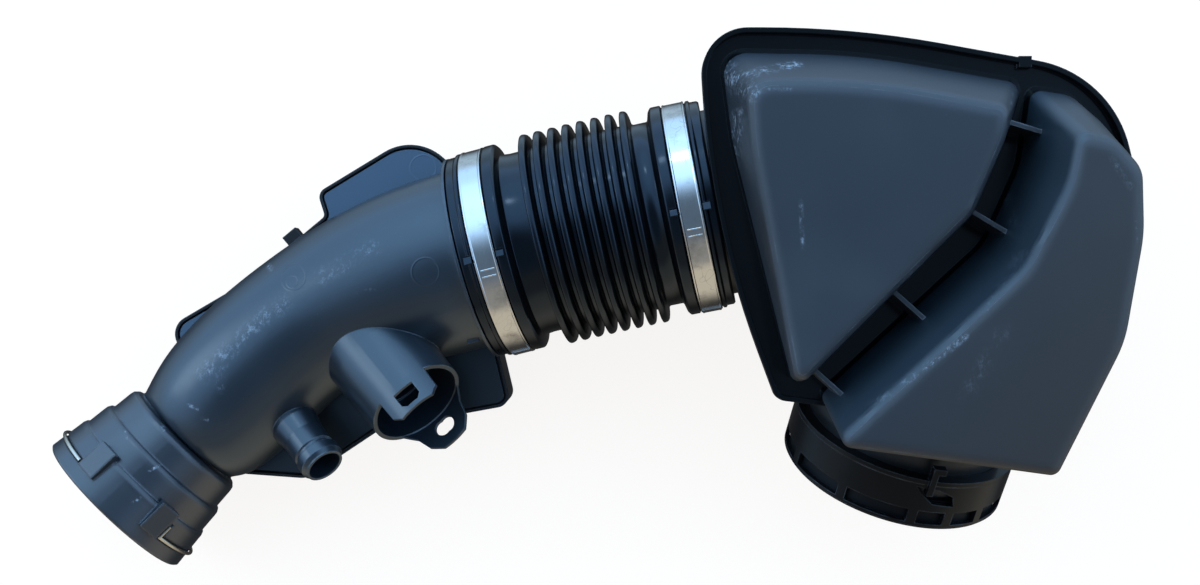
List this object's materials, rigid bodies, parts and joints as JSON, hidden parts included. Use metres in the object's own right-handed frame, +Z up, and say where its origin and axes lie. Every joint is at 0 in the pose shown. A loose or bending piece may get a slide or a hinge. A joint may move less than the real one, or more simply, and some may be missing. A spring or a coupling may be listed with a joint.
{
  "type": "air intake hose",
  "caption": "Plastic air intake duct with a bellows rubber hose, a ported pipe with quick-connect collar and a ribbed two-shell chamber with a locking inlet.",
  "frame": {"origin": "middle of the part's extent in X and Y, on the surface that it lies on", "axes": "+X runs along the duct from the collar to the chamber, +Z points up, away from the flat back"},
  "size_m": [0.4952, 0.2464, 0.169],
  "materials": {
    "pipe_plastic": "satin, dusty",
    "chamber_plastic": "satin, scuffed",
    "box_plastic": "satin",
    "ring_plastic": "half gloss",
    "hose_rubber": "smooth",
    "seal_rubber": "smooth",
    "band_steel": "bright",
    "spring_steel": "bright"
  },
  "bodies": {
    "root": {"coupling_collar": "pipe_plastic", "collar_seal": "seal_rubber", "collar_wire_clip": "spring_steel", "clean_air_pipe": "pipe_plastic", "resonator_shell": "box_plastic", "bellows_hose": "hose_rubber", "pipe_end_clamp": "band_steel", "chamber_end_clamp": "band_steel", "chamber_front_shell": "chamber_plastic", "chamber_rear_shell": "box_plastic", "inlet_locking_ring": "ring_plastic", "inlet_seal": "seal_rubber"}
  },
  "joints": []
}
